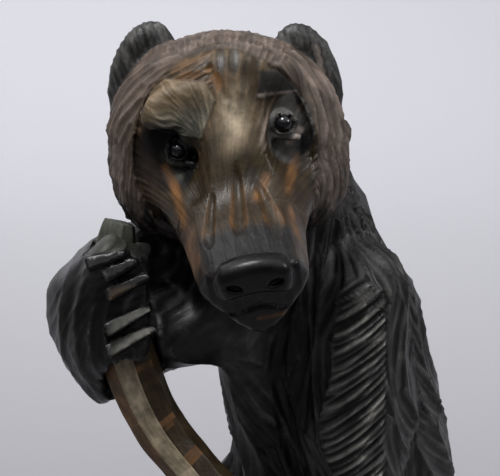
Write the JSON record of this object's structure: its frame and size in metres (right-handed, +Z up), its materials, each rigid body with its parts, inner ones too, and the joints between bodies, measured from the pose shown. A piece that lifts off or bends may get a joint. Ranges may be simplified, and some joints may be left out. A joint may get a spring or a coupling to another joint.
{
  "type": "carved wooden bear",
  "caption": "Upright carved wooden bear statue on a low base carved with it, right paw gripping a bent branch, left arm hanging, glass eyes.",
  "frame": {"origin": "centre of the flat underside of the base", "axes": "+Z up, -Y the way the bear faces, -X the bear's right side"},
  "size_m": [0.3388, 0.2979, 0.581],
  "materials": {
    "dark_stained_wood": "satin, stained nearly black, rubbed brown on the head",
    "branch_wood": "satin, tan and orange-brown",
    "black_glass": "glossy"
  },
  "bodies": {
    "root": {"bear": "dark_stained_wood", "branch": "branch_wood", "eye_right": "black_glass", "eye_left": "black_glass"}
  },
  "joints": []
}
